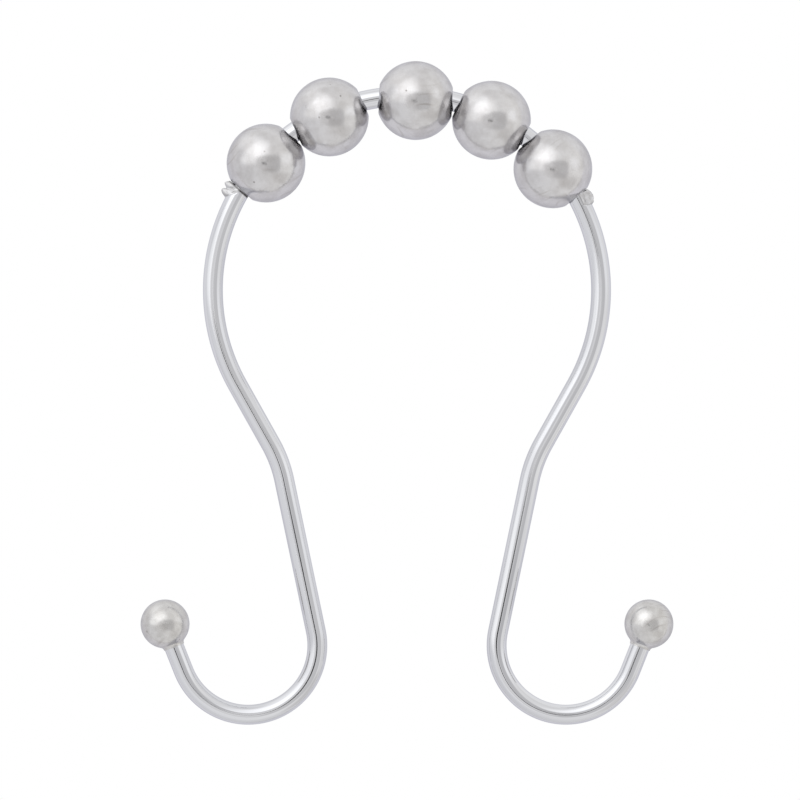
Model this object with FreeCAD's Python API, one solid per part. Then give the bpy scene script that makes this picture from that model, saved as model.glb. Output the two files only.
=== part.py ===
"""Double curtain hook with rolling beads, in millimetres.

One length of round wire is bent into an open loop with a hook at each foot. Five hollow beads are strung
on the loop, between two stops that are pinched up from the wire, and roll on the curtain rod. A small bead
is pressed on each end of the wire.

Frame: +Z up, the loop lies in the XZ plane, and the origin is the centre of the loop, where the rod passes
along Y. Angles are in degrees, clockwise as the front shows them, and start from the top of the loop.
"""

import FreeCAD, Part

import math
import os

from FreeCAD import Placement, Rotation, Vector

# Wire: radii and lengths are the centreline's, followed from the top of the loop down one leg to its end.
WIRE_DIAMETER = 2.4
LOOP_RADIUS = 23.4
LOOP_HALF_ANGLE = 119.3
NECK_LENGTH = 8.1
KNEE_RADIUS = 15.5
KNEE_ANGLE = 17.5
SHANK_LENGTH = 18.6
HOOK_RADIUS = 8.35
HOOK_ANGLE = 170.2
TIP_LENGTH = 6.1  # from the end of the hook's bend to the centre of the end bead

# Stops: teeth pinched out of the wire at either end of the row of beads, with a flat left on each side.
LEFT_TEETH = 2
LEFT_TOOTH_LENGTH = 1.1
LEFT_TOOTH_HEIGHT = 0.9
RIGHT_TEETH = 1
RIGHT_TOOTH_LENGTH = 1.9
RIGHT_TOOTH_HEIGHT = 0.6
TOOTH_LEAN = 0.19  # share of its height by which the side next to the beads leans toward them
TOOTH_EDGE_RADIUS = 0.15
TOOTH_CREST_THICKNESS = 0.9
PINCH_DEPTH = 0.3  # how far outside the wire's centreline the flats start

# Rolling beads: hollow, with a flat lip round each end of the bore.
ROLLER_DIAMETER = 9.5
ROLLER_WALL = 0.5
ROLLER_BORE_DIAMETER = 2.9
ROLLER_LIP_WIDTH = 0.3
ROLLER_LIP_EDGE_RADIUS = 0.08
ROLLERS_AT_LEFT_STOP = 2
ROLLERS_AT_RIGHT_STOP = 3
ROLLER_GLIDE = 1.2  # length of wire that the row leaves free
ROW_CENTRE_ANGLE = 1.15  # how far right of the top the middle of the row lies
RUNNING_GAP = 0.05  # between the wire and the edge of the bore that hangs on it
RESTING_GAP = 0.08  # between beads that rest on each other, and between a bead and its stop

# End beads.
END_BEAD_DIAMETER = 5.9
END_BEAD_NECK_WALL = 0.06
END_BEAD_NECK_LENGTH = 3.0  # from the bead's centre
END_BEAD_NECK_FILLET = 0.45
END_BEAD_SOCKET_DEPTH = 3.9
END_BEAD_FIT = 0.03  # left round the wire in the socket

UP = Vector(0, 0, 1)
FRONT_TO_BACK = Vector(0, 1, 0)
ORIGIN = Vector(0, 0, 0)
EDGE_TOLERANCE = 1e-4

WIRE_RADIUS = WIRE_DIAMETER / 2
WIRE_CREST = LOOP_RADIUS + WIRE_RADIUS  # from the loop's centre to the outside of the wire
ROLLER_RADIUS = ROLLER_DIAMETER / 2
ROLLER_BORE_RADIUS = ROLLER_BORE_DIAMETER / 2
ROLLER_HOLLOW_RADIUS = ROLLER_RADIUS - ROLLER_WALL
LIP_RADIUS = ROLLER_BORE_RADIUS + ROLLER_LIP_WIDTH
LIP_REACH = math.sqrt(ROLLER_RADIUS**2 - LIP_RADIUS**2)  # from a bead's centre to the face of its lip
BORE_EDGE_REACH = math.sqrt(ROLLER_HOLLOW_RADIUS**2 - ROLLER_BORE_RADIUS**2)

# A bead hangs with the inner edges of its bore on the outside of the curved wire.
ROLLER_HANG_RADIUS = (
    math.sqrt(WIRE_CREST**2 - BORE_EDGE_REACH**2) - ROLLER_BORE_RADIUS + RUNNING_GAP
)

# The row of beads: half of the angle from one bead to the next that it rests on, the angle from the last
# bead's centre to the stop, and half of the angle from stop to stop.
LIP_EDGE_RADIUS = ROLLER_HANG_RADIUS - LIP_RADIUS
HALF_PITCH_ANGLE = math.degrees(
    math.atan2(LIP_REACH, LIP_EDGE_RADIUS)
    + math.asin(RESTING_GAP / 2 / math.hypot(LIP_REACH, LIP_EDGE_RADIUS))
)
STOP_REACH_ANGLE = math.degrees(math.asin(LIP_REACH / WIRE_CREST) + RESTING_GAP / WIRE_CREST)
ROW_HALF_ANGLE = (
    STOP_REACH_ANGLE
    + HALF_PITCH_ANGLE * (ROLLERS_AT_LEFT_STOP + ROLLERS_AT_RIGHT_STOP - 1)
    + math.degrees(ROLLER_GLIDE / LOOP_RADIUS) / 2
)
LEFT_STOP_ANGLE = ROW_HALF_ANGLE - ROW_CENTRE_ANGLE
RIGHT_STOP_ANGLE = ROW_HALF_ANGLE + ROW_CENTRE_ANGLE


def on_circle(radius, angle):
    """The point at that angle on a circle round the origin."""
    turn = math.radians(angle)
    return Vector(radius * math.sin(turn), 0, radius * math.cos(turn))


def heading(angle):
    """The way the wire runs where it has turned by that angle since the top of the loop."""
    turn = math.radians(angle)
    return Vector(math.cos(turn), 0, -math.sin(turn))


def mirrored(shape):
    """The same shape on the left side."""
    return shape.mirror(ORIGIN, Vector(1, 0, 0))


def round_edges(shape, radius):
    """The shape's circular edges of that radius."""
    return [
        edge for edge in shape.Edges
        if not edge.Degenerated and isinstance(edge.Curve, Part.Circle)
        and abs(edge.Curve.Radius - radius) < EDGE_TOLERANCE
    ]


class WirePath:
    """A centreline that grows from its last point by straights and bends."""

    def __init__(self, point, angle):
        self.point = point
        self.angle = angle
        self.edges = []

    def straight(self, length):
        end = self.point + heading(self.angle) * length
        self.edges.append(Part.LineSegment(self.point, end).toShape())
        self.point = end

    def bend(self, radius, sweep):
        """Bend by sweep degrees: clockwise where it is positive."""
        arm = math.copysign(radius, sweep)
        centre = self.point - on_circle(arm, self.angle)
        middle = centre + on_circle(arm, self.angle + sweep / 2)
        end = centre + on_circle(arm, self.angle + sweep)
        self.edges.append(Part.Arc(self.point, middle, end).toShape())
        self.point = end
        self.angle += sweep


def right_leg():
    """The centreline from the end of the loop to the end of the hook's bend, with its last direction."""
    leg = WirePath(on_circle(LOOP_RADIUS, LOOP_HALF_ANGLE), LOOP_HALF_ANGLE)
    leg.straight(NECK_LENGTH)
    leg.bend(KNEE_RADIUS, -KNEE_ANGLE)
    leg.straight(SHANK_LENGTH)
    leg.bend(HOOK_RADIUS, -HOOK_ANGLE)
    return leg


def end_bead_place():
    """Where the right end bead sits: its centre, with its neck pointing down the wire."""
    leg = right_leg()
    centre = leg.point + heading(leg.angle) * TIP_LENGTH
    return Placement(centre, Rotation(UP, heading(leg.angle)))


def bent_wire():
    """The wire as bent, from tip to tip, before its stops are pinched."""
    leg = right_leg()
    leg.straight(TIP_LENGTH - END_BEAD_NECK_LENGTH + END_BEAD_SOCKET_DEPTH)
    left_edges = [mirrored(edge) for edge in leg.edges]
    loop = Part.Arc(
        on_circle(LOOP_RADIUS, -LOOP_HALF_ANGLE),
        on_circle(LOOP_RADIUS, 0),
        on_circle(LOOP_RADIUS, LOOP_HALF_ANGLE),
    ).toShape()
    path = Part.Wire(Part.__sortEdges__(left_edges + [loop] + leg.edges))
    tip = leg.point
    section = Part.Wire(Part.makeCircle(WIRE_RADIUS, tip, heading(leg.angle)))
    return path.makePipeShell([section], True, False)


def tooth(start_angle, length, height):
    """One tooth of the right stop, as a plate as thick as the wire."""
    crest = WIRE_CREST + height
    end_angle = start_angle + math.degrees(length / WIRE_CREST)
    lean_angle = math.degrees(height * TOOTH_LEAN / WIRE_CREST)
    corners = [
        on_circle(LOOP_RADIUS, start_angle),
        on_circle(WIRE_CREST, start_angle),
        on_circle(crest, start_angle - lean_angle),
        on_circle(crest, end_angle),
        on_circle(LOOP_RADIUS, end_angle),
    ]
    outline = Part.makePolygon(corners + corners[:1])
    outline.translate(FRONT_TO_BACK * -WIRE_RADIUS)
    plate = Part.Face(outline).extrude(FRONT_TO_BACK * WIRE_DIAMETER)
    crest_edges = [
        edge for edge in plate.Edges
        if all(vertex.Point.Length > crest - TOOTH_EDGE_RADIUS for vertex in edge.Vertexes)
        and abs(edge.tangentAt(edge.FirstParameter).y) > 0.9
    ]
    return plate.makeFillet(TOOTH_EDGE_RADIUS, crest_edges)


def pinched_flat(start_angle, span, height):
    """What the pinch takes off the front of the wire and of the teeth of the right stop."""
    root = LOOP_RADIUS + PINCH_DEPTH
    crest = WIRE_CREST + height
    root_half = math.sqrt(WIRE_RADIUS**2 - PINCH_DEPTH**2)
    crest_half = TOOTH_CREST_THICKNESS / 2
    corners = [
        Vector(0, -root_half, root),
        Vector(0, -crest_half, crest),
        Vector(0, -crest_half, crest + height),
        Vector(0, -WIRE_DIAMETER, crest + height),
        Vector(0, -WIRE_DIAMETER, root),
    ]
    face = Part.Face(Part.makePolygon(corners + corners[:1]))
    face.rotate(ORIGIN, FRONT_TO_BACK, start_angle)
    return face.revolve(ORIGIN, FRONT_TO_BACK, span)


def pinch_stop(wire, start_angle, teeth, length, height, place):
    """Pinch a row of teeth up from the wire. The place turns the right side's shapes to their side."""
    pitch = math.degrees(length / WIRE_CREST)
    for number in range(teeth):
        wire = wire.fuse(place(tooth(start_angle + number * pitch, length, height)))
    front = pinched_flat(start_angle, teeth * pitch, height)
    back = front.mirror(ORIGIN, FRONT_TO_BACK)
    return wire.cut([place(front), place(back)])


def hook_wire():
    wire = bent_wire()
    wire = pinch_stop(wire, LEFT_STOP_ANGLE, LEFT_TEETH, LEFT_TOOTH_LENGTH, LEFT_TOOTH_HEIGHT, mirrored)
    wire = pinch_stop(
        wire, RIGHT_STOP_ANGLE, RIGHT_TEETH, RIGHT_TOOTH_LENGTH, RIGHT_TOOTH_HEIGHT, lambda shape: shape
    )
    return wire.removeSplitter().Solids[0]


def roller_angles():
    """Where the beads rest, from left to right."""
    left = [
        STOP_REACH_ANGLE - LEFT_STOP_ANGLE + 2 * HALF_PITCH_ANGLE * number
        for number in range(ROLLERS_AT_LEFT_STOP)
    ]
    right = [
        RIGHT_STOP_ANGLE - STOP_REACH_ANGLE - 2 * HALF_PITCH_ANGLE * number
        for number in reversed(range(ROLLERS_AT_RIGHT_STOP))
    ]
    return left + right


def roller(angle):
    """A rolling bead, turned round its bore, which runs along X until it is put on the loop."""
    lip_left = Vector(-LIP_REACH, 0, LIP_RADIUS)
    lip_right = Vector(LIP_REACH, 0, LIP_RADIUS)
    mouth_left = Vector(-LIP_REACH, 0, ROLLER_BORE_RADIUS)
    mouth_right = Vector(LIP_REACH, 0, ROLLER_BORE_RADIUS)
    edge_left = Vector(-BORE_EDGE_REACH, 0, ROLLER_BORE_RADIUS)
    edge_right = Vector(BORE_EDGE_REACH, 0, ROLLER_BORE_RADIUS)
    outline = Part.Wire([
        Part.Arc(lip_left, UP * ROLLER_RADIUS, lip_right).toShape(),
        Part.LineSegment(lip_right, mouth_right).toShape(),
        Part.LineSegment(mouth_right, edge_right).toShape(),
        Part.Arc(edge_right, UP * ROLLER_HOLLOW_RADIUS, edge_left).toShape(),
        Part.LineSegment(edge_left, mouth_left).toShape(),
        Part.LineSegment(mouth_left, lip_left).toShape(),
    ])
    bead = Part.Face(outline).revolve(ORIGIN, Vector(1, 0, 0), 360)
    bead = bead.makeFillet(ROLLER_LIP_EDGE_RADIUS, round_edges(bead, LIP_RADIUS)).Solids[0]
    bead.Placement = Placement(on_circle(ROLLER_HANG_RADIUS, angle), Rotation(FRONT_TO_BACK, angle))
    return bead


def end_bead():
    """A bead on the right end of the wire: a ball that flares into a short neck, with a blind socket."""
    radius = END_BEAD_DIAMETER / 2
    socket_radius = WIRE_RADIUS + END_BEAD_FIT
    neck_radius = socket_radius + END_BEAD_NECK_WALL
    ball = Part.makeSphere(radius)
    neck = Part.makeCylinder(neck_radius, END_BEAD_NECK_LENGTH, ORIGIN, -UP)
    body = ball.fuse(neck)
    flare = max(round_edges(body, neck_radius), key=lambda edge: edge.CenterOfMass.z)
    body = body.makeFillet(END_BEAD_NECK_FILLET, [flare])
    socket = Part.makeCylinder(socket_radius, END_BEAD_SOCKET_DEPTH, UP * -END_BEAD_NECK_LENGTH, UP)
    body = body.cut(socket).removeSplitter().Solids[0]
    body.Placement = end_bead_place()
    return body


def build():
    """Every piece by its name."""
    pieces = {"hook_wire": hook_wire()}
    for number, angle in enumerate(roller_angles(), start=1):
        pieces[f"roller_bead_{number}"] = roller(angle)
    pieces["end_bead_right"] = end_bead()
    pieces["end_bead_left"] = mirrored(pieces["end_bead_right"])
    return pieces


os.makedirs("parts", exist_ok=True)
for name, piece in build().items():
    piece.exportStep(f"parts/{name}.step")
    print(name, "volume", round(piece.Volume, 2), "valid", piece.isValid())
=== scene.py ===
"""A double curtain hook with five rolling beads, dressed for its picture.

One wire is bent to a round loop, two shanks and two hooks, which end in pressed-on beads. Five
hollow beads roll on the loop between two stops that are pinched up from the wire. The hook's sizes
are in millimetres and its angles in degrees, as on a drawing, and each piece is built in metres in
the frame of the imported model.
"""

import logging
import math
from dataclasses import dataclass
from enum import Enum

import bpy
from mathutils import Matrix, Vector, noise


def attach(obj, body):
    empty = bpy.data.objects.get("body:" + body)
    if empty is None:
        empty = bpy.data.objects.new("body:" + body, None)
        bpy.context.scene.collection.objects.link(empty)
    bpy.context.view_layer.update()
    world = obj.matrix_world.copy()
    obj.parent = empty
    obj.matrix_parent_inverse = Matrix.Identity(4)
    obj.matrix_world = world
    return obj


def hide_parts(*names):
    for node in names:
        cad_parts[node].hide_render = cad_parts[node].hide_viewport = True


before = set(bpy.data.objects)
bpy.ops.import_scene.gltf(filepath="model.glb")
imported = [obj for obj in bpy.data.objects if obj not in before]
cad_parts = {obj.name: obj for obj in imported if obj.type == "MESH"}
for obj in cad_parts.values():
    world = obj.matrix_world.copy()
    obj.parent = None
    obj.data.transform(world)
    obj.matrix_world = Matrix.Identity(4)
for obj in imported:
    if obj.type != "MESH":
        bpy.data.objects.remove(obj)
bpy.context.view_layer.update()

MM = 0.001
DEPTH = Vector((0.0, 1.0, 0.0))
# Doubles nearer than this are merged, and a vertex this near to a ring lies on it, in mm
MERGE_DISTANCE = 0.002
RING_TOLERANCE = 0.01
ROUNDING_SEGMENTS = 3
SMOOTH_ANGLE = 40.0
log = logging.getLogger("curtain_hook")


class Side(Enum):
    """The side of the hook, as the sign of its X."""

    LEFT = -1
    RIGHT = 1


# Directions in the plane of the hook


def heading_vector(degrees: float) -> Vector:
    """The direction at an angle from +X, counter-clockwise seen from the front."""
    return Vector((math.cos(math.radians(degrees)), 0.0, math.sin(math.radians(degrees))))


def left_of(direction: Vector) -> Vector:
    """The direction a quarter turn counter-clockwise from this one, seen from the front."""
    return Vector((-direction.z, 0.0, direction.x))


# Helpers for meshes


def start_piece() -> None:
    """Go to object mode and deselect everything, before the next operator starts afresh."""
    if bpy.context.object and bpy.context.object.mode != "OBJECT":
        bpy.ops.object.mode_set(mode="OBJECT")
    bpy.ops.object.select_all(action="DESELECT")


def start_point(across: float, along: float) -> None:
    """Add a mesh of one vertex, ready to be drawn into a profile.

    Args:
        across: the X of the vertex, in mm.
        along: the Z of the vertex, in mm.
    """
    start_piece()
    bpy.ops.mesh.primitive_plane_add(size=MM, location=(across * MM, 0.0, along * MM))
    bpy.ops.object.transform_apply(location=True, rotation=False, scale=False)
    bpy.ops.object.mode_set(mode="EDIT")
    bpy.ops.mesh.merge(type="CENTER")


def draw_line(x: float, z: float) -> None:
    """Draw the profile on by one straight line, which goes x and z mm farther."""
    bpy.ops.mesh.extrude_vertices_move(TRANSFORM_OT_translate={"value": (x * MM, 0.0, z * MM)})


def draw_arc(turn: float, steps: int, x: float = 0.0, z: float = 0.0) -> None:
    """Draw what is selected on round an arc, or sweep it round a bend.

    Args:
        turn: the angle of the arc in degrees, counter-clockwise seen from the front.
        steps: how many segments it gets.
        x: the X of its centre, in mm.
        z: the Z of its centre, in mm.
    """
    bpy.ops.mesh.spin(
        steps=steps,
        angle=math.radians(turn),
        center=(x * MM, 0.0, z * MM),
        axis=DEPTH,
    )


def turn_profile(steps: int) -> None:
    """Turn the drawn profile round the Z axis into a closed shell."""
    bpy.ops.mesh.select_all(action="SELECT")
    bpy.ops.mesh.spin(
        steps=steps,
        angle=math.radians(360.0),
        center=(0.0, 0.0, 0.0),
        axis=(0.0, 0.0, 1.0),
    )
    bpy.ops.mesh.select_all(action="SELECT")
    bpy.ops.mesh.remove_doubles(threshold=MERGE_DISTANCE * MM)
    bpy.ops.mesh.normals_make_consistent(inside=False)
    bpy.ops.object.mode_set(mode="OBJECT")


def round_rings(piece: bpy.types.Object, rings: list[tuple[float, float]], radius: float) -> None:
    """Round sharp rings of a turned piece.

    Args:
        piece: the turned piece, with its axis on Z.
        rings: the radius and the Z of each ring, in mm.
        radius: how large the rounding is, in mm.
    """

    def on_a_ring(vertex: bpy.types.MeshVertex) -> bool:
        """Whether a vertex lies on one of the rings."""
        reach = math.hypot(vertex.co.x, vertex.co.y) / MM
        height = vertex.co.z / MM
        return any(math.hypot(reach - r, height - z) < RING_TOLERANCE for r, z in rings)

    mesh = piece.data
    bpy.ops.object.mode_set(mode="EDIT")
    bpy.ops.mesh.select_all(action="DESELECT")
    bpy.ops.object.mode_set(mode="OBJECT")
    chosen = {vertex.index for vertex in mesh.vertices if on_a_ring(vertex)}
    for edge in mesh.edges:
        edge.select = chosen.issuperset(edge.vertices)
    bpy.ops.object.mode_set(mode="EDIT")
    bpy.ops.mesh.bevel(offset=radius * MM, segments=ROUNDING_SEGMENTS, affect="EDGES")
    bpy.ops.object.mode_set(mode="OBJECT")


def settle(piece: bpy.types.Object, name: str) -> bpy.types.Object:
    """Name a finished piece, put its place into its mesh and shade it smooth.

    Args:
        piece: the piece, wherever its object stands.
        name: the name it gets.

    Returns:
        The same piece, at the origin, unturned and unscaled.
    """
    start_piece()
    piece.name = name
    piece.data.name = name
    bpy.context.view_layer.objects.active = piece
    piece.select_set(True)
    bpy.ops.object.transform_apply(location=True, rotation=True, scale=True)
    bpy.ops.object.shade_smooth_by_angle(angle=math.radians(SMOOTH_ANGLE))
    return piece


def settle_copy(pattern: bpy.types.Object, place: Matrix, name: str) -> bpy.types.Object:
    """Copy a modelled piece, with a mesh of its own, and settle the copy at its place.

    Args:
        pattern: the piece that is copied.
        place: where the copy stands and how it is turned, in metres.
        name: the name it gets.

    Returns:
        The copy, at the origin, unturned and unscaled.
    """
    piece = pattern.copy()
    piece.data = pattern.data.copy()
    bpy.context.collection.objects.link(piece)
    piece.matrix_world = place
    return settle(piece, name)


def hand_over(piece: bpy.types.Object, body: str, node: str) -> None:
    """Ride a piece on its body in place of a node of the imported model.

    Args:
        piece: the finished piece.
        body: the body that it moves with.
        node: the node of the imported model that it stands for.
    """
    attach(piece, body)
    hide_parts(node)
    log.info("%s: %d faces, rides on %s", piece.name, len(piece.data.polygons), body)


# Helpers for materials


def colour(code: str) -> tuple[float, float, float, float]:
    """Turn an sRGB hex code into a linear colour.

    Args:
        code: six hex digits, with or without a leading hash.

    Returns:
        Red, green, blue and an alpha of 1.
    """
    channels = [int(code.lstrip("#")[i:i + 2], 16) / 255 for i in (0, 2, 4)]
    linear = [c / 12.92 if c <= 0.04045 else ((c + 0.055) / 1.055) ** 2.4 for c in channels]
    return linear[0], linear[1], linear[2], 1.0


def add_node(
    tree: bpy.types.NodeTree,
    kind: str,
    inputs: dict[str | int, object] | None = None,
    **settings: object,
) -> bpy.types.Node:
    """Add a node with its settings, and give each input a value or a link.

    Args:
        tree: the node tree that it goes into.
        kind: the node's type, without its ShaderNode prefix.
        inputs: for an input's name or number, a value or another node's output.
        settings: properties of the node.

    Returns:
        The new node.
    """
    node = tree.nodes.new("ShaderNode" + kind)
    for name, value in settings.items():
        setattr(node, name, value)
    for key, value in (inputs or {}).items():
        if isinstance(value, bpy.types.NodeSocket):
            tree.links.new(value, node.inputs[key])
        else:
            node.inputs[key].default_value = value
    return node


def new_material(name: str) -> tuple[bpy.types.Material, bpy.types.NodeTree]:
    """Make a material with an empty node tree, and return both."""
    material = bpy.data.materials.new(name)
    material.use_nodes = True
    material.node_tree.nodes.clear()
    return material, material.node_tree


def lay_colours(
    tree: bpy.types.NodeTree,
    ground: str | bpy.types.NodeSocket,
    layers: list[tuple[bpy.types.Node, str | bpy.types.NodeSocket]],
) -> bpy.types.NodeSocket:
    """Lay colours over each other, each a hex code or another node's output.

    Args:
        tree: the node tree that they belong to.
        ground: the colour underneath.
        layers: for each colour on it, a node whose output is 1 where it covers, and the colour.

    Returns:
        The output that holds the finished colour.
    """
    surface = colour(ground) if isinstance(ground, str) else ground
    for cover, paint in layers:
        # A Mix node of colours has them at inputs 6 and 7 and its result at output 2
        mixed = add_node(tree, "Mix", {
            0: cover.outputs[0],
            6: surface,
            7: colour(paint) if isinstance(paint, str) else paint,
        }, data_type="RGBA")
        surface = mixed.outputs[2]
    return surface


def per_metre(millimetres: float) -> float:
    """The scale of a pattern on metres whose cells are this many millimetres wide."""
    return 1.0 / (millimetres * MM)


# Finishes


@dataclass(frozen=True)
class BallFinish:
    """Bright nickel over a steel ball.

    Tumbling or turning leaves a soft, slightly cloudy mirror under the plating, with hair scratches
    and a few small pits. A width is where a mark is full and where it has faded, as shares of its
    spacing, and limits are the values of a noise between which a mark grows from none to full. The
    scratches are drawn as wide as they need to be to show.
    """

    name: str
    bright: str
    cloudy: str
    gloss: float
    gloss_spread: tuple[float, float] = (0.8, 1.35)
    gloss_limits: tuple[float, float] = (0.35, 0.7)
    cloud_size: float = 1.6
    cloud_limits: tuple[float, float] = (0.38, 0.68)
    sway_size: float = 8.0
    sway: float = 6.0
    scratch_spacing: float = 1.3
    scratch_across: tuple[float, float, float] = (-0.55, 0.25, 0.8)
    scratch_width: tuple[float, float] = (0.02, 0.12)
    scratch_run: float = 3.2
    scratch_limits: tuple[float, float] = (0.6, 0.8)
    scratch_colour: str = "#bcb9b7"
    pit_spacing: float = 1.3
    pit_width: tuple[float, float] = (0.05, 0.12)
    pit_rarity: float = 0.88
    pit_depth: float = 0.6
    pit_colour: str = "#8c8886"
    relief: float = 0.02
    relief_strength: float = 0.35
    rim_tint: str = "#d9d9de"

    def scratches(self, tree: bpy.types.NodeTree, place: bpy.types.NodeSocket) -> bpy.types.Node:
        """Hair lines in parallel arcs, broken up into short runs.

        Args:
            tree: the material's node tree.
            place: the coordinates of the pattern.

        Returns:
            A node whose output is 1 on a scratch and 0 elsewhere.
        """
        sway = add_node(tree, "TexNoise", {
            "Vector": place,
            "Scale": per_metre(self.sway_size),
            "Detail": 0.0,
        })
        swayed = add_node(
            tree, "Math", {0: sway.outputs["Fac"], 1: self.sway}, operation="MULTIPLY")
        across = add_node(
            tree, "VectorMath", {0: place, 1: self.scratch_across}, operation="DOT_PRODUCT")
        count = add_node(tree, "Math", {
            0: across.outputs["Value"],
            1: per_metre(self.scratch_spacing),
            2: swayed.outputs[0],
        }, operation="MULTIPLY_ADD")
        away = add_node(tree, "Math", {0: count.outputs[0], 1: 0.5}, operation="PINGPONG")
        thin = add_node(tree, "MapRange", {
            "Value": away.outputs[0],
            "From Min": self.scratch_width[0],
            "From Max": self.scratch_width[1],
            "To Min": 1.0,
            "To Max": 0.0,
        })
        breaks = add_node(tree, "TexNoise", {
            "Vector": place,
            "Scale": per_metre(self.scratch_run),
            "Detail": 0.0,
        })
        kept = add_node(tree, "MapRange", {
            "Value": breaks.outputs["Fac"],
            "From Min": self.scratch_limits[0],
            "From Max": self.scratch_limits[1],
        })
        return add_node(
            tree, "Math", {0: thin.outputs[0], 1: kept.outputs[0]}, operation="MULTIPLY")

    def pits(self, tree: bpy.types.NodeTree, place: bpy.types.NodeSocket) -> bpy.types.Node:
        """A few small pits of about 0.2 mm.

        Args:
            tree: the material's node tree.
            place: the coordinates of the pattern.

        Returns:
            A node whose output is 1 in a pit and 0 elsewhere.
        """
        cells = add_node(tree, "TexVoronoi", {
            "Vector": place,
            "Scale": per_metre(self.pit_spacing),
        })
        near = add_node(tree, "MapRange", {
            "Value": cells.outputs["Distance"],
            "From Min": self.pit_width[0],
            "From Max": self.pit_width[1],
            "To Min": 1.0,
            "To Max": 0.0,
        })
        chance = add_node(tree, "SeparateColor", {"Color": cells.outputs["Color"]})
        chosen = add_node(
            tree, "Math", {0: chance.outputs["Red"], 1: self.pit_rarity}, operation="GREATER_THAN")
        return add_node(
            tree, "Math", {0: near.outputs[0], 1: chosen.outputs[0]}, operation="MULTIPLY")

    def material(self) -> bpy.types.Material:
        """Build the material and return it."""
        material, tree = new_material(self.name)
        place = add_node(tree, "TexCoord").outputs["Object"]
        clouds = add_node(tree, "TexNoise", {
            "Vector": place,
            "Scale": per_metre(self.cloud_size),
            "Detail": 4.0,
            "Roughness": 0.6,
        })
        cloudiness = add_node(tree, "MapRange", {
            "Value": clouds.outputs["Fac"],
            "From Min": self.cloud_limits[0],
            "From Max": self.cloud_limits[1],
        })
        pit = self.pits(tree, place)
        surface = lay_colours(tree, self.bright, [
            (cloudiness, self.cloudy),
            (self.scratches(tree, place), self.scratch_colour),
            (pit, self.pit_colour),
        ])
        gloss = add_node(tree, "MapRange", {
            "Value": clouds.outputs["Fac"],
            "From Min": self.gloss_limits[0],
            "From Max": self.gloss_limits[1],
            "To Min": self.gloss * self.gloss_spread[0],
            "To Max": self.gloss * self.gloss_spread[1],
        })
        dents = add_node(tree, "Math", {
            0: pit.outputs[0],
            1: -self.pit_depth,
            2: clouds.outputs["Fac"],
        }, operation="MULTIPLY_ADD")
        bump = add_node(tree, "Bump", {
            "Height": dents.outputs[0],
            "Strength": self.relief_strength,
            "Distance": self.relief * MM,
        })
        shader = add_node(tree, "BsdfPrincipled", {
            "Base Color": surface,
            "Metallic": 1.0,
            "Roughness": gloss.outputs[0],
            "Normal": bump.outputs[0],
            "Specular Tint": colour(self.rim_tint),
        })
        add_node(tree, "OutputMaterial", {"Surface": shader.outputs[0]})
        return material


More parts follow.
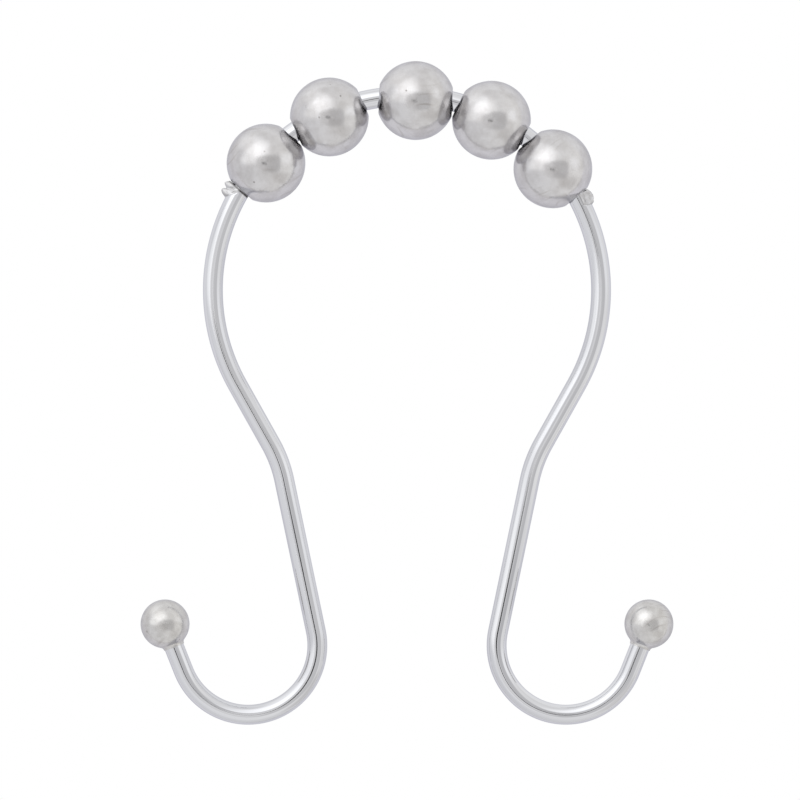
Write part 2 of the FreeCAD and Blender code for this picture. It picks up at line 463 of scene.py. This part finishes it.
@dataclass(frozen=True)
class WireFinish:
    """Bright chrome over drawn steel wire.

    Drawing the wire through its die leaves faint lines along it, which the thin plating keeps, and
    which are drawn as coarse as they need to be to show. Where the stops were pinched up, the jaws
    left it duller and uneven. Painted shade lies dark round each bite, most of all in the narrow
    gap between the left stop and its bead, where the bead's lip shades the wire.
    """

    name: str
    bright: str
    streaked: str
    gloss: float
    line_width: float = 0.3
    line_length: float = 14.0
    line_limits: tuple[float, float] = (0.42, 0.66)
    grain_size: float = 0.35
    worn: str = "#a9a7a6"
    worn_roughness: float = 5.6
    worn_limit: float = 0.7
    worn_relief: float = 5.0
    relief: float = 0.01
    relief_strength: float = 0.3
    # Painted shade: dark round each bite and in the gap between the left stop and its bead
    painted_shade: str = "#3a3634"
    shade_at_bites: float = 0.3
    shade_lost_on_ears: float = 0.3
    rim_tint: str = "#dcdce2"

    def edge_of(self, tree: bpy.types.NodeTree, mask: bpy.types.NodeSocket) -> bpy.types.Node:
        """Find the thin edge of a mask, where it passes from 0 to 1.

        Args:
            tree: the material's node tree.
            mask: the mask.

        Returns:
            A node whose output is 1 in the middle of the edge and 0 on both sides of it.
        """
        rest = add_node(tree, "Math", {0: 1.0, 1: mask}, operation="SUBTRACT")
        both = add_node(tree, "Math", {0: rest.outputs[0], 1: mask}, operation="MULTIPLY")
        # The mask times what is left of it peaks at a quarter, halfway through the edge
        return add_node(tree, "Math", {0: both.outputs[0], 1: 4.0}, operation="MULTIPLY")

    def material(self) -> bpy.types.Material:
        """Build the material and return it."""
        material, tree = new_material(self.name)
        drawn, pinched, past_stop = (
            add_node(tree, "Attribute", attribute_name=name, attribute_type="GEOMETRY")
            for name in ("drawn_place", "pinched", "past_stop")
        )
        long_way = add_node(tree, "Mapping", {
            "Vector": drawn.outputs["Vector"],
            "Scale": (1.0, 1.0, self.line_width / self.line_length),
        })
        lines = add_node(tree, "TexNoise", {
            "Vector": long_way.outputs[0],
            "Scale": per_metre(self.line_width * 2.0),
            "Detail": 2.0,
            "Roughness": 0.55,
        })
        streak = add_node(tree, "MapRange", {
            "Value": lines.outputs["Fac"],
            "From Min": self.line_limits[0],
            "From Max": self.line_limits[1],
        })
        grain = add_node(tree, "TexNoise", {
            "Vector": drawn.outputs["Vector"],
            "Scale": per_metre(self.grain_size),
            "Detail": 3.0,
        })
        bruised = add_node(tree, "Math", {
            0: pinched.outputs["Fac"],
            1: grain.outputs["Fac"],
        }, operation="MULTIPLY")
        # Painted shade: a dark band at the edge of each bite, and a darker line where the left stop
        # starts beside its bead, fainter on the ears
        off_ears = add_node(tree, "Math", {
            0: pinched.outputs["Fac"],
            1: -self.shade_lost_on_ears,
            2: 1.0,
        }, operation="MULTIPLY_ADD")
        shade_by_bead = add_node(tree, "Math", {
            0: self.edge_of(tree, past_stop.outputs["Fac"]).outputs[0],
            1: off_ears.outputs[0],
        }, operation="MULTIPLY")
        painted_shade = add_node(tree, "Math", {
            0: self.edge_of(tree, pinched.outputs["Fac"]).outputs[0],
            1: self.shade_at_bites,
            2: shade_by_bead.outputs[0],
        }, operation="MULTIPLY_ADD", use_clamp=True)
        surface = lay_colours(tree, self.bright, [
            (streak, self.streaked),
            (bruised, self.worn),
            (painted_shade, self.painted_shade),
        ])
        gloss = add_node(tree, "MapRange", {
            "Value": bruised.outputs[0],
            "From Min": 0.0,
            "From Max": self.worn_limit,
            "To Min": self.gloss,
            "To Max": self.gloss * self.worn_roughness,
        })
        relief = add_node(tree, "Math", {
            0: bruised.outputs[0],
            1: self.worn_relief,
            2: lines.outputs["Fac"],
        }, operation="MULTIPLY_ADD")
        bump = add_node(tree, "Bump", {
            "Height": relief.outputs[0],
            "Strength": self.relief_strength,
            "Distance": self.relief * MM,
        })
        shader = add_node(tree, "BsdfPrincipled", {
            "Base Color": surface,
            "Metallic": 1.0,
            "Roughness": gloss.outputs[0],
            "Normal": bump.outputs[0],
            "Specular Tint": colour(self.rim_tint),
        })
        add_node(tree, "OutputMaterial", {"Surface": shader.outputs[0]})
        return material


# The bent wire


@dataclass(frozen=True)
class Run:
    """One run of the wire: a straight if it has no radius, else a bend.

    The turn is counter-clockwise seen from the front, and the step is the angle between rings.
    """

    length: float = 0.0
    radius: float = 0.0
    turn: float = 0.0
    step: float = 1.5

    @property
    def reach(self) -> float:
        """How much wire the run takes, in mm."""
        return self.length if not self.radius else self.radius * math.radians(abs(self.turn))

    @property
    def steps(self) -> int:
        """How many segments the run gets."""
        return math.ceil(abs(self.turn) / self.step) if self.radius else 1

    def arm(self, heading: float) -> Vector:
        """The way to the bend's centre from where the wire has this heading, in mm."""
        return left_of(heading_vector(heading)) * math.copysign(self.radius, self.turn)

    def point(self, place: Vector, heading: float, part: float) -> Vector:
        """Find the wire's middle at a part of the run.

        Args:
            place: the start of the run, in mm.
            heading: the wire's direction there, in degrees from +X.
            part: the part, from 0 at the start to 1 at the end, or -1 to walk back from the end.

        Returns:
            The middle of the wire, in mm.
        """
        straight = heading_vector(heading) * self.length * part
        return place + straight + self.arm(heading) - self.arm(heading + self.turn * part)

    def draw(self, place: Vector, heading: float) -> None:
        """Extrude or bend the selected section of the wire along the run.

        Args:
            place: the start of the run, in mm.
            heading: the wire's direction there, in degrees from +X.
        """
        if self.radius:
            centre = place + self.arm(heading)
            draw_arc(self.turn, self.steps, centre.x, centre.z)
        else:
            way = heading_vector(heading) * self.length * MM
            bpy.ops.mesh.extrude_region_move(TRANSFORM_OT_translate={"value": way})


@dataclass
class PinchStop:
    """Ears that are pinched up from the outer side of the loop, to keep the beads on it.

    They start a little way past the middle of the last bead, and the crest gives their height over
    the round wire from there on.
    By the slant the jaws held less of the wire toward its inner side, in mm for each mm of depth,
    and they reached round it to an angle from its outer side. Each ramp is how far their grip takes
    to grow: past the bead, before the far end and short of that angle. Each kind of dent has its
    number in a mm and its share of the unevenness.
    """

    side: Side
    bead_angle: float
    crest: tuple[tuple[float, float], ...]
    past_bead: float = 10.527
    crest_thickness: float = 0.9
    pinch_depth: float = 0.3
    slant: float = 1.3
    reach_round: float = 180.0
    start_ramp: float = 0.02
    end_ramp: float = 0.1
    round_ramp: float = 8.0
    unevenness: float = 0.10
    dents: tuple[tuple[float, float], ...] = ((2.1, 1.0), (4.3, 0.5))

    def lift(self, along: float) -> float:
        """The height of the ears at a place along the wire, both in mm."""
        for (before, low), (after, high) in zip(self.crest, self.crest[1:]):
            if before <= along <= after:
                return low + (high - low) * (along - before) / (after - before)
        return 0.0

    def along(self, place: Vector, crest_radius: float) -> float:
        """How far past the stop's start a place is, square to the face of the bead, in mm.

        Args:
            place: the place, in mm.
            crest_radius: the radius of the outside of the loop, in mm.

        Returns:
            The distance, which is negative on the bead's side.
        """
        angle = math.atan2(place.x * self.side.value, place.z) - math.radians(self.bead_angle)
        first = math.radians(self.past_bead)
        return math.hypot(place.x, place.z) * math.sin(angle) - crest_radius * math.sin(first)

    def grip(self, along: float) -> float:
        """How firmly the jaws held the wire there, from 0 to 1."""
        past_start = (along - self.crest[0][0]) / self.start_ramp
        before_end = (self.crest[-1][0] - along) / self.end_ramp
        return min(1.0, max(0.0, min(past_start, before_end)))

    def reach_at(self, angle: float, lift: float, wire_radius: float) -> float:
        """How far the pinched section reaches from the wire's middle.

        Args:
            angle: the direction from straight outward, in radians.
            lift: the ear's height there, in mm.
            wire_radius: the radius of the round wire, in mm.

        Returns:
            The reach in that direction, in mm.
        """
        root = self.pinch_depth
        root_half = math.sqrt(wire_radius ** 2 - root ** 2)
        crest = wire_radius + lift
        crest_half = self.crest_thickness / 2.0
        sine, cosine = math.sin(abs(angle)), math.cos(angle)
        if cosine * root_half < sine * root:
            return wire_radius
        rise = crest - root
        fall = root_half - crest_half
        flank = (root_half * rise + root * fall) / (sine * rise + cosine * fall)
        return min(flank, crest / cosine)

    def press(self, place: Vector, loop_radius: float, wire_radius: float) -> tuple[Vector, float]:
        """Press one point of the round wire into the stop's shape.

        Args:
            place: the point, in mm.
            loop_radius: the radius of the loop's centre line, in mm.
            wire_radius: the radius of the round wire, in mm.

        Returns:
            The pressed point, and how firmly it was held, from 0 to 1.
        """
        if place.z < 0.0 or place.x * self.side.value < 0.0:
            return place, 0.0
        radial = Vector((place.x, 0.0, place.z))
        direction = math.atan2(place.y, radial.length - loop_radius)
        along = self.along(place, loop_radius + wire_radius)
        shifted = along + self.slant * wire_radius * (1.0 - math.cos(direction))
        past_jaws = (self.reach_round - abs(math.degrees(direction))) / self.round_ramp
        grip = min(self.grip(along), self.grip(shifted), max(0.0, past_jaws))
        if grip == 0.0:
            return place, 0.0
        pressed = self.reach_at(direction, self.lift(shifted), wire_radius)
        dented = sum(depth * abs(noise.noise(place * per_mm)) for per_mm, depth in self.dents)
        pressed -= self.unevenness * dented
        moved = (pressed - wire_radius) * grip
        face_up = heading_vector(90.0 - self.bead_angle * self.side.value)
        return place + (face_up * math.cos(direction) + DEPTH * math.sin(direction)) * moved, grip


LEFT_CREST = (
    (-0.03, 0.44), (0.22, 0.66), (0.48, 0.90), (0.62, 0.95), (0.76, 0.80), (0.88, 0.54),
    (0.95, 0.40), (1.04, 0.46), (1.16, 0.74), (1.30, 0.88), (1.50, 0.86), (1.64, 0.78),
    (1.76, 0.60), (1.86, 0.38), (1.88, 0.0),
)
RIGHT_CREST = (
    (-0.03, 0.32), (0.25, 0.44), (0.60, 0.60), (1.05, 0.62), (1.35, 0.54), (1.60, 0.42),
    (1.73, 0.32), (1.85, 0.0),
)


@dataclass
class BentWire:
    """The one wire of the hook, from the tip of the left hook to the tip of the right one.

    Its rings lie close together on the part of the loop where the stops are pinched up. The ramp of
    the painted shade is as wide as the dark line beside the left stop has to be to show.
    """

    finish: WireFinish
    diameter: float = 2.4
    loop_radius: float = 23.4
    loop_half_angle: float = 119.3
    neck_length: float = 8.1
    knee_radius: float = 15.5
    knee_angle: float = 17.5
    shank_length: float = 18.6
    hook_radius: float = 8.35
    hook_angle: float = 170.2
    tip_length: float = 7.0
    stop_from: float = 57.5
    stop_to: float = 67.5
    fine_step: float = 0.22
    # The ramp of the painted shade in the gap beside the left stop's bead, in mm
    shade_ramp: float = 0.25
    sides: int = 72

    @property
    def radius(self) -> float:
        """The radius of the wire, in mm."""
        return self.diameter / 2.0

    def leg(self) -> list[Run]:
        """The runs from a wire end up to the loop."""
        return [
            Run(length=self.tip_length),
            Run(radius=self.hook_radius, turn=self.hook_angle, step=2.5),
            Run(length=self.shank_length),
            Run(radius=self.knee_radius, turn=self.knee_angle),
            Run(length=self.neck_length),
        ]

    def runs(self) -> list[Run]:
        """All runs, with fine rings on the loop where the stops are pinched up."""
        edges = [self.loop_half_angle, self.stop_to, self.stop_from]
        lower = Run(radius=self.loop_radius, turn=edges[1] - edges[0])
        stop = Run(radius=self.loop_radius, turn=edges[2] - edges[1], step=self.fine_step)
        top = Run(radius=self.loop_radius, turn=-2.0 * edges[2])
        return [*self.leg(), lower, stop, top, stop, lower, *reversed(self.leg())]

    def first_heading(self) -> float:
        """The direction of the wire at its left end, in degrees from +X."""
        return self.loop_half_angle - self.knee_angle - self.hook_angle

    def first_place(self) -> Vector:
        """The left end of the wire, found by walking back from the loop's end."""
        heading = self.loop_half_angle
        place = heading_vector(90.0 + self.loop_half_angle) * self.loop_radius
        for run in reversed(self.leg()):
            place = run.point(place, heading, -1.0)
            heading -= run.turn
        return place

    def sweep(self) -> bpy.types.Object:
        """Extrude and bend a round section along all runs, and note each point's drawn place."""
        heading = self.first_heading()
        place = self.first_place()
        start_piece()
        bpy.ops.mesh.primitive_circle_add(
            vertices=self.sides,
            radius=self.radius * MM,
            fill_type="NGON",
            location=place * MM,
            rotation=(0.0, math.radians(90.0 - heading), 0.0),
        )
        piece = bpy.context.object
        bpy.ops.object.transform_apply(location=True, rotation=True, scale=True)
        along = 0.0
        drawn: list[tuple[float, float, float]] = []
        self.note_ring(piece, drawn, place, heading_vector(heading), along)
        for run in self.runs():
            bpy.ops.object.mode_set(mode="EDIT")
            run.draw(place, heading)
            bpy.ops.object.mode_set(mode="OBJECT")
            for step in range(1, run.steps + 1):
                part = step / run.steps
                middle = run.point(place, heading, part)
                direction = heading_vector(heading + run.turn * part)
                self.note_ring(piece, drawn, middle, direction, along + run.reach * part)
            place = run.point(place, heading, 1.0)
            heading += run.turn
            along += run.reach
        attribute = piece.data.attributes.new("drawn_place", "FLOAT_VECTOR", "POINT")
        attribute.data.foreach_set("vector", [c for point in drawn for c in point])
        return piece

    def note_ring(
        self,
        piece: bpy.types.Object,
        drawn: list[tuple[float, float, float]],
        middle: Vector,
        direction: Vector,
        along: float,
    ) -> None:
        """Note where the next ring of vertices lay on the straight wire.

        Args:
            piece: the wire so far.
            drawn: the drawn places noted so far, one for each vertex, in metres.
            middle: the ring's centre, in mm.
            direction: the wire's direction there.
            along: the ring's place along the straight wire, in mm.
        """
        outward = left_of(direction)
        first = len(drawn)
        for vertex in piece.data.vertices[first:first + self.sides]:
            offset = vertex.co - middle * MM
            drawn.append((offset.dot(outward), offset.y, along * MM))

    def past_stop(self, place: Vector, stop: PinchStop) -> float:
        """How far a place has passed a stop's start, from 0 to 1 over the painted shade's ramp."""
        if place.x * stop.side.value < 0.0:
            return 0.0
        if place.z < 0.0:
            return 1.0
        along = stop.along(place, self.loop_radius + self.radius)
        return min(1.0, max(0.0, (along - stop.crest[0][0]) / self.shade_ramp))

    def build(self, stops: list[PinchStop]) -> bpy.types.Object:
        """Build the wire with its stops.

        Args:
            stops: the stops that are pinched up from it.

        Returns:
            The finished wire.
        """
        piece = self.sweep()
        left_stop = next(stop for stop in stops if stop.side is Side.LEFT)
        grips = [0.0] * len(piece.data.vertices)
        past = [0.0] * len(piece.data.vertices)
        for vertex in piece.data.vertices:
            place = vertex.co / MM
            past[vertex.index] = self.past_stop(place, left_stop)
            from_top = abs(math.degrees(math.atan2(place.x, place.z)))
            if not self.stop_from < from_top < self.stop_to:
                continue
            for stop in stops:
                place, grip = stop.press(place, self.loop_radius, self.radius)
                grips[vertex.index] = max(grip, grips[vertex.index])
            vertex.co = place * MM
        for name, values in (("pinched", grips), ("past_stop", past)):
            attribute = piece.data.attributes.new(name, "FLOAT", "POINT")
            attribute.data.foreach_set("value", values)
        settle(piece, "bent_wire")
        piece.data.materials.append(self.finish.material())
        hand_over(piece, "hook", "hook_wire")
        return piece


# The beads


@dataclass
class RollingBeads:
    """The hollow beads that roll on the loop.

    Each hangs with the top of its bore on the wire, so its middle is a little nearer to the loop's
    centre than the wire's. All touch, but for one gap in the row.
    """

    finish: BallFinish
    diameter: float = 9.5
    wall: float = 0.5
    bore: float = 2.9
    lip_width: float = 0.3
    lip_rounding: float = 0.08
    hang_radius: float = 22.8734
    count: int = 5
    first_angle: float = -47.975
    step_angle: float = 23.828
    gap_angle: float = 2.938
    beads_before_gap: int = 2
    slices: int = 128
    outer_steps: int = 72
    inner_steps: int = 40

    @property
    def angles(self) -> list[float]:
        """Where the beads' middles are, clockwise from the top of the loop."""
        row = [self.first_angle + self.step_angle * number for number in range(self.count)]
        late = self.beads_before_gap
        return row[:late] + [angle + self.gap_angle for angle in row[late:]]

    def model(self) -> bpy.types.Object:
        """Turn one bead, with its axis on Z and its middle at the origin, and return it."""
        outer = self.diameter / 2.0
        inner = outer - self.wall
        bore = self.bore / 2.0
        lip = bore + self.lip_width
        lip_reach = math.sqrt(outer ** 2 - lip ** 2)
        bore_reach = math.sqrt(inner ** 2 - bore ** 2)
        outer_arc = 180.0 - 2.0 * math.degrees(math.asin(lip / outer))
        inner_arc = 180.0 - 2.0 * math.degrees(math.asin(bore / inner))
        start_point(lip, lip_reach)
        draw_arc(-outer_arc, self.outer_steps)
        draw_line(bore - lip, 0.0)
        draw_line(0.0, lip_reach - bore_reach)
        draw_arc(inner_arc, self.inner_steps)
        draw_line(0.0, lip_reach - bore_reach)
        draw_line(lip - bore, 0.0)
        turn_profile(self.slices)
        bead = bpy.context.object
        mouths = [(r, z) for r in (bore, lip) for z in (-lip_reach, lip_reach)]
        round_rings(bead, mouths, self.lip_rounding)
        return bead

    def build(self) -> list[bpy.types.Object]:
        """Model one bead, copy it to each place of the row, and return all five."""
        pattern = self.model()
        finish = self.finish.material()
        beads = []
        for number, angle in enumerate(self.angles, start=1):
            middle = heading_vector(90.0 - angle) * self.hang_radius * MM
            turn = Matrix.Rotation(math.radians(angle + 90.0), 4, "Y")
            bead = settle_copy(
                pattern, Matrix.Translation(middle) @ turn, f"rolling_bead_{number}")
            bead.data.materials.append(finish)
            hand_over(bead, f"roller_{number}", f"roller_bead_{number}")
            beads.append(bead)
        bpy.data.objects.remove(pattern)
        return beads


@dataclass
class EndBeads:
    """The two beads that are pressed on the ends of the wire."""

    finish: BallFinish
    wire: BentWire
    diameter: float = 5.9
    neck_wall: float = 0.06
    neck_length: float = 3.0
    flare: float = 0.45
    fit: float = 0.03
    socket_depth: float = 3.9
    neck_rounding: float = 0.025
    slices: int = 96
    ball_steps: int = 60
    flare_steps: int = 8

    def model(self) -> bpy.types.Object:
        """Turn one bead with its neck down, its axis on Z and its middle at the origin."""
        radius = self.diameter / 2.0
        socket = self.wire.radius + self.fit
        neck = socket + self.neck_wall
        centre_x = neck + self.flare
        centre_z = -math.sqrt((radius + self.flare) ** 2 - centre_x ** 2)
        meet = math.degrees(math.atan2(centre_x, -centre_z))
        start_point(0.0, radius)
        draw_arc(-(180.0 - meet), self.ball_steps)
        draw_arc(90.0 - meet, self.flare_steps, centre_x, centre_z)
        draw_line(0.0, -(self.neck_length + centre_z))
        draw_line(socket - neck, 0.0)
        draw_line(0.0, self.socket_depth)
        draw_line(-socket, 0.0)
        turn_profile(self.slices)
        bead = bpy.context.object
        round_rings(bead, [(neck, -self.neck_length)], self.neck_rounding)
        return bead

    def build(self) -> list[bpy.types.Object]:
        """Model one bead, copy it to each end of the wire, and return both."""
        pattern = self.model()
        finish = self.finish.material()
        heading = heading_vector(self.wire.first_heading())
        end = self.wire.first_place() + heading * (self.socket_depth - self.neck_length)
        beads = []
        for side in Side:
            place = Vector((-end.x * side.value, 0.0, end.z)) * MM
            outward = Vector((heading.x * side.value, 0.0, -heading.z))
            turn = Vector((0.0, 0.0, 1.0)).rotation_difference(outward).to_matrix().to_4x4()
            name = side.name.lower()
            bead = settle_copy(pattern, Matrix.Translation(place) @ turn, f"{name}_end_bead")
            bead.data.materials.append(finish)
            hand_over(bead, "hook", f"end_bead_{name}")
            beads.append(bead)
        bpy.data.objects.remove(pattern)
        return beads


# The studio


@dataclass(frozen=True)
class Card:
    """A studio card with a soft edge, which only shows in reflections.

    Its angles are to the right and up from the camera's side, as the hook sees it, and its sizes
    are in metres. The level is how bright it is: at 0 it is a dark thing in the room. The edge is
    the share of its half-width that fades out, and the corner is 2 for an oval and more for a
    squarer outline.
    """

    name: str
    azimuth: float
    elevation: float
    distance: float
    width: float
    height: float
    level: float
    edge: float = 0.3
    corner: float = 2.0
    tint: str = "#ffffff"

    def build(self) -> None:
        """Add the card, facing the hook."""
        azimuth, elevation = math.radians(self.azimuth), math.radians(self.elevation)
        direction = Vector((
            math.sin(azimuth) * math.cos(elevation),
            -math.cos(azimuth) * math.cos(elevation),
            math.sin(elevation),
        ))
        start_piece()
        bpy.ops.mesh.primitive_plane_add(size=1.0)
        card = bpy.context.object
        card.name = self.name
        card.scale = (self.width, self.height, 1.0)
        bpy.ops.object.transform_apply(location=False, rotation=False, scale=True)
        card.location = direction * self.distance
        card.rotation_euler = (-direction).to_track_quat("-Z", "Y").to_euler()
        card.data.materials.append(self.material())
        card.visible_camera = False
        card.visible_diffuse = False
        card.visible_shadow = False

    def material(self) -> bpy.types.Material:
        """Build the card's glow and return it."""
        material, tree = new_material(self.name)
        place = add_node(tree, "TexCoord").outputs["Object"]
        axes = add_node(tree, "SeparateXYZ", {"Vector": place})
        powers = []
        for axis, size in (("X", self.width), ("Y", self.height)):
            share = add_node(
                tree, "Math", {0: axes.outputs[axis], 1: size / 2.0}, operation="DIVIDE")
            away = add_node(tree, "Math", {0: share.outputs[0]}, operation="ABSOLUTE")
            powers.append(add_node(
                tree, "Math", {0: away.outputs[0], 1: self.corner}, operation="POWER"))
        total = add_node(tree, "Math", {0: powers[0].outputs[0], 1: powers[1].outputs[0]})
        reach = add_node(
            tree, "Math", {0: total.outputs[0], 1: 1.0 / self.corner}, operation="POWER")
        cover = add_node(tree, "MapRange", {
            "Value": reach.outputs[0],
            "From Min": 1.0 - self.edge,
            "From Max": 1.0,
            "To Min": 1.0,
            "To Max": 0.0,
        }, interpolation_type="SMOOTHSTEP")
        glow = add_node(
            tree, "Emission", {"Color": colour(self.tint), "Strength": self.level})
        clear = add_node(tree, "BsdfTransparent")
        mixed = add_node(tree, "MixShader", {
            0: cover.outputs[0],
            1: clear.outputs[0],
            2: glow.outputs[0],
        })
        add_node(tree, "OutputMaterial", {"Surface": mixed.outputs[0]})
        return material


@dataclass
class Studio:
    """The camera, the white surroundings, the floor and the cards that the metal mirrors.

    What the metal mirrors of the surroundings goes by direction: the room's tint changes with X and
    the backdrop's with Z, and the backdrop begins where Y passes its edge, with a darker seam low
    down. Each card has its azimuth and elevation, and then its distance, width and height.
    """

    camera_distance: float = 600.0
    view_width: float = 96.45
    view_centre: tuple[float, float] = (-0.84, -13.25)
    sensor: float = 36.0
    clip_start: float = 50.0
    floor_height: float = -150.0
    floor_size: float = 1600.0
    fill_light: float = 0.8
    backdrop_edge: float = 0.13
    backdrop_blur: float = 0.03
    backdrop_heights: tuple[float, float] = (-0.3, 0.7)
    backdrop_tints: tuple[str, str] = ("#f1f0f4", "#ffffff")
    room_half_width: float = 0.9
    room_tints: tuple[str, str] = ("#f0f0f2", "#fffefc")
    seam_width: float = 0.022
    seam_top: float = -0.3
    seam_colour: str = "#c2bdb8"
    cards: tuple[Card, ...] = (
        Card("lens_card", -6.8, -2.8, 1.80, 0.28, 0.25, level=0.0, edge=0.35),
        Card("tripod_card", 0.6, -4.6, 1.80, 0.24, 0.26, level=0.0, edge=0.35),
        Card("strap_card", 3.0, 2.5, 1.80, 0.24, 0.04, level=0.0),
        Card("face_card", -1.0, -4.0, 1.87, 1.10, 0.70, level=1.0, edge=0.7, tint="#f6f5f5"),
        Card("figure_card", 17.0, -4.0, 1.95, 2.44, 2.20, level=0.77, corner=5.0, tint="#f3f2f2"),
        Card(
            "sleeve_card", -9.0, -4.0, 2.00, 1.90, 1.90, level=0.90, edge=0.5, corner=4.0,
            tint="#f7f6f6"),
        Card("side_card", -54.0, 8.0, 2.20, 3.00, 1.40, level=1.20, edge=0.85),
        Card("window_card", 66.0, 12.0, 2.20, 2.20, 1.60, level=1.16, edge=0.8),
        Card(
            "room_card", 58.0, -40.0, 2.25, 2.40, 1.70, level=0.86, edge=0.5, corner=4.0,
            tint="#fbf9f7"),
        Card("soft_box", -30.0, 32.0, 2.40, 5.20, 5.20, level=1.60, edge=0.95),
        Card("ceiling_card", -80.0, 52.0, 2.50, 3.80, 3.00, level=1.20, edge=0.9),
    )

    def place_camera(self) -> None:
        """Stand the camera straight in front of the hook."""
        x, z = self.view_centre
        bpy.ops.object.camera_add(
            location=(x * MM, -self.camera_distance * MM, z * MM),
            rotation=(math.radians(90.0), 0.0, 0.0),
        )
        camera = bpy.context.object
        camera.data.sensor_width = self.sensor
        camera.data.lens = self.sensor * self.camera_distance / self.view_width
        camera.data.clip_start = self.clip_start * MM
        bpy.context.scene.camera = camera

    def light_world(self) -> None:
        """Surround the hook with white, a little cooler behind its plane than in front of it."""
        world = bpy.data.worlds.new("white_studio")
        world.use_nodes = True
        tree = world.node_tree
        tree.nodes.clear()
        direction = add_node(tree, "TexCoord").outputs["Generated"]
        axes = add_node(tree, "SeparateXYZ", {"Vector": direction})
        across = add_node(tree, "MapRange", {
            "Value": axes.outputs["X"],
            "From Min": -self.room_half_width,
            "From Max": self.room_half_width,
        })
        behind = add_node(tree, "MapRange", {
            "Value": axes.outputs["Y"],
            "From Min": self.backdrop_edge - self.backdrop_blur,
            "From Max": self.backdrop_edge + self.backdrop_blur,
        })
        height = add_node(tree, "MapRange", {
            "Value": axes.outputs["Z"],
            "From Min": self.backdrop_heights[0],
            "From Max": self.backdrop_heights[1],
        })
        at_edge = add_node(tree, "Math", {
            0: axes.outputs["Y"],
            1: self.backdrop_edge,
            2: self.seam_width,
        }, operation="COMPARE")
        low = add_node(
            tree, "Math", {0: axes.outputs["Z"], 1: self.seam_top}, operation="LESS_THAN")
        seam = add_node(
            tree, "Math", {0: at_edge.outputs[0], 1: low.outputs[0]}, operation="MULTIPLY")
        room = lay_colours(tree, self.room_tints[0], [(across, self.room_tints[1])])
        backdrop = lay_colours(tree, self.backdrop_tints[0], [(height, self.backdrop_tints[1])])
        seen = lay_colours(tree, room, [(behind, backdrop), (seam, self.seam_colour)])
        path = add_node(tree, "LightPath")
        mirror, plain, soft = (
            add_node(tree, "Background", {"Color": tint, "Strength": strength})
            for tint, strength in (
                (seen, 1.0),
                (colour("#ffffff"), 1.0),
                (colour("#ffffff"), self.fill_light),
            )
        )
        through = add_node(tree, "Math", {
            0: path.outputs["Is Camera Ray"],
            1: path.outputs["Is Transmission Ray"],
        }, operation="MAXIMUM")
        lit = add_node(tree, "MixShader", {
            0: path.outputs["Is Glossy Ray"],
            1: soft.outputs[0],
            2: mirror.outputs[0],
        })
        whole = add_node(tree, "MixShader", {
            0: through.outputs[0],
            1: lit.outputs[0],
            2: plain.outputs[0],
        })
        add_node(tree, "OutputWorld", {"Surface": whole.outputs[0]})
        bpy.context.scene.world = world

    def lay_floor(self) -> None:
        """Lay a pale floor under the hanging hook, clear from below and not mirrored in it."""
        start_piece()
        bpy.ops.mesh.primitive_plane_add(
            size=self.floor_size * MM, location=(0.0, 0.0, self.floor_height * MM))
        floor = bpy.context.object
        floor.name = "floor"
        material, tree = new_material("matt_white_paper")
        face = add_node(tree, "NewGeometry")
        paper = add_node(tree, "BsdfDiffuse", {"Color": colour("#f4f4f3")})
        clear = add_node(tree, "BsdfTransparent")
        one_sided = add_node(tree, "MixShader", {
            0: face.outputs["Backfacing"],
            1: paper.outputs[0],
            2: clear.outputs[0],
        })
        add_node(tree, "OutputMaterial", {"Surface": one_sided.outputs[0]})
        floor.data.materials.append(material)
        floor.visible_glossy = False

    def build(self) -> None:
        """Set up the whole studio."""
        self.place_camera()
        self.light_world()
        self.lay_floor()
        for card in self.cards:
            card.build()
        bpy.context.scene.view_settings.view_transform = "Standard"


def main() -> None:
    """Build the studio and the hook's pieces in order."""
    logging.basicConfig(level=logging.INFO, format="%(message)s")
    Studio().build()
    ball = BallFinish("nickelled_tumbled_steel", "#d4d3d4", "#c4c2c2", 0.185)
    beads = RollingBeads(ball)
    wire = BentWire(WireFinish("chromed_drawn_wire", "#dddee1", "#cdced2", 0.045))
    wire.build([
        PinchStop(Side.LEFT, -beads.angles[0], LEFT_CREST),
        PinchStop(Side.RIGHT, beads.angles[-1], RIGHT_CREST, slant=0.6, reach_round=84.0),
    ])
    beads.build()
    # The end beads are turned, which leaves them a little duller, in smaller clouds
    end_ball = BallFinish("nickelled_turned_steel", "#d4d3d2", "#c2c0be", 0.21, cloud_size=1.2)
    EndBeads(end_ball, wire).build()


if __name__ == "__main__":
    main()
